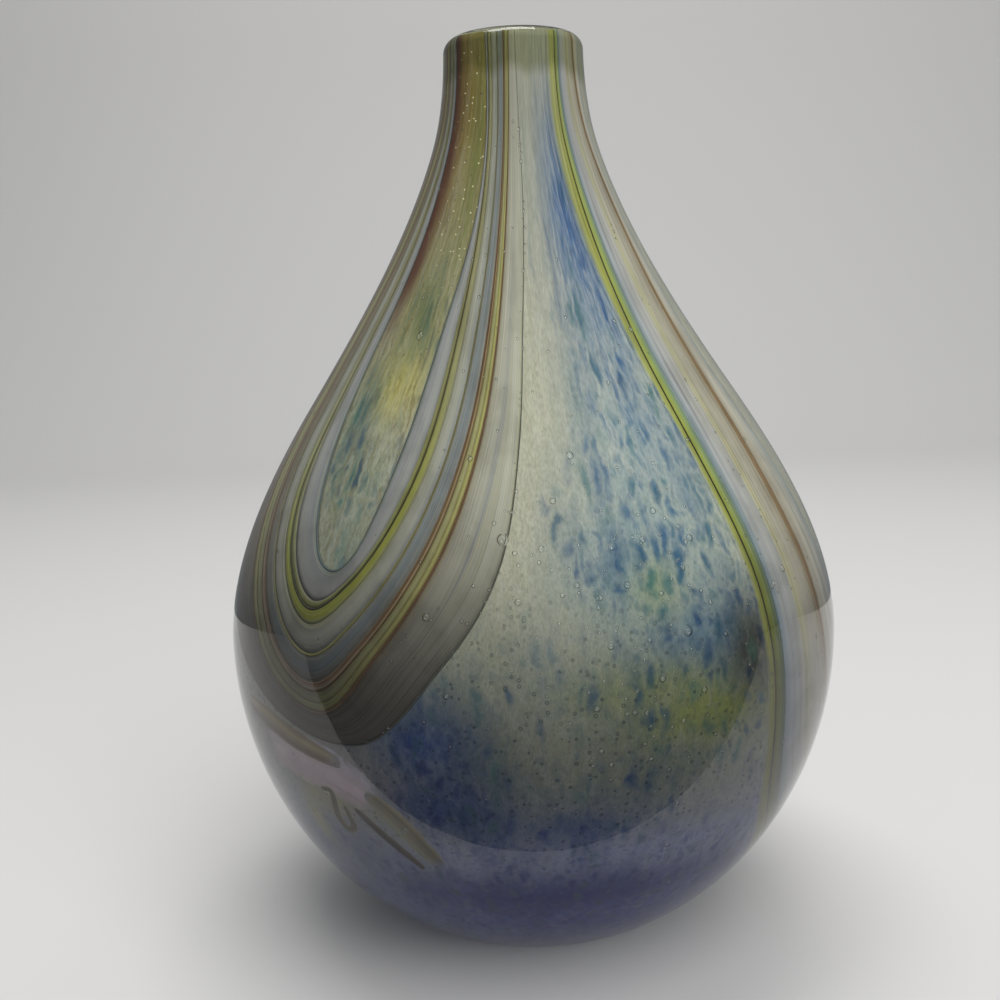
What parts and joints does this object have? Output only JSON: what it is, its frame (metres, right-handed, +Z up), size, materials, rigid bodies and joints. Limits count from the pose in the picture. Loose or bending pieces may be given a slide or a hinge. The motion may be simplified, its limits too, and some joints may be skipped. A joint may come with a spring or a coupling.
{
  "type": "vase",
  "caption": "Teardrop vase of cased art glass with hooked swirls of canes and bands over mottled frit, a narrow neck and a flat foot.",
  "frame": {"origin": "middle of the foot, on the surface that the vase stands on", "axes": "+Z up along the vase's axis, -Y towards the front, where the left swirl and the frit field are seen"},
  "size_m": [0.18, 0.18, 0.26],
  "materials": {
    "clear_glass": "clear, fire-polished, with seed bubbles",
    "opal_glass": "ivory opal glass, glossy on the inside wall",
    "frit_glass": "mottled ivory, blue, green and yellow frit",
    "leaf_glass": "mottled gold, green and blue frit",
    "grey_glass": "lilac-grey glass with fine drawn lines",
    "lime_glass": "lime green cane glass",
    "dark_glass": "near black thread glass",
    "olive_glass": "olive glass",
    "red_glass": "red-brown cane with a pale middle",
    "tan_glass": "tan and ochre glass",
    "brown_glass": "brown and amber glass",
    "pink_glass": "pink-lilac glass"
  },
  "bodies": {
    "root": {"clear_casing": "clear_glass", "frit_jacket": "frit_glass", "opal_core": "opal_glass", "frit_leaf": "leaf_glass", "leaf_rim": "dark_glass", "lilac_band": "grey_glass", "lime_cane_inner": "lime_glass", "dark_thread": "dark_glass", "lime_cane_outer": "lime_glass", "pearl_band": "grey_glass", "olive_thread": "olive_glass", "slate_band": "grey_glass", "red_cane": "red_glass", "straw_band": "grey_glass", "tan_cane": "tan_glass", "brown_thread": "brown_glass", "smoke_band": "grey_glass", "edge_thread": "dark_glass", "right_lime_cane": "lime_glass", "right_black_thread": "dark_glass", "right_green_cane": "lime_glass", "right_grey_band": "grey_glass", "amber_cane": "brown_glass", "right_pale_band": "grey_glass", "right_leaf": "leaf_glass", "back_green_cane": "lime_glass", "back_black_thread": "dark_glass", "back_grey_band": "grey_glass", "back_leaf": "leaf_glass", "pink_patch": "pink_glass", "brown_stick": "brown_glass", "olive_hook": "olive_glass", "ochre_smear": "tan_glass", "straw_bit": "olive_glass"}
  },
  "joints": []
}
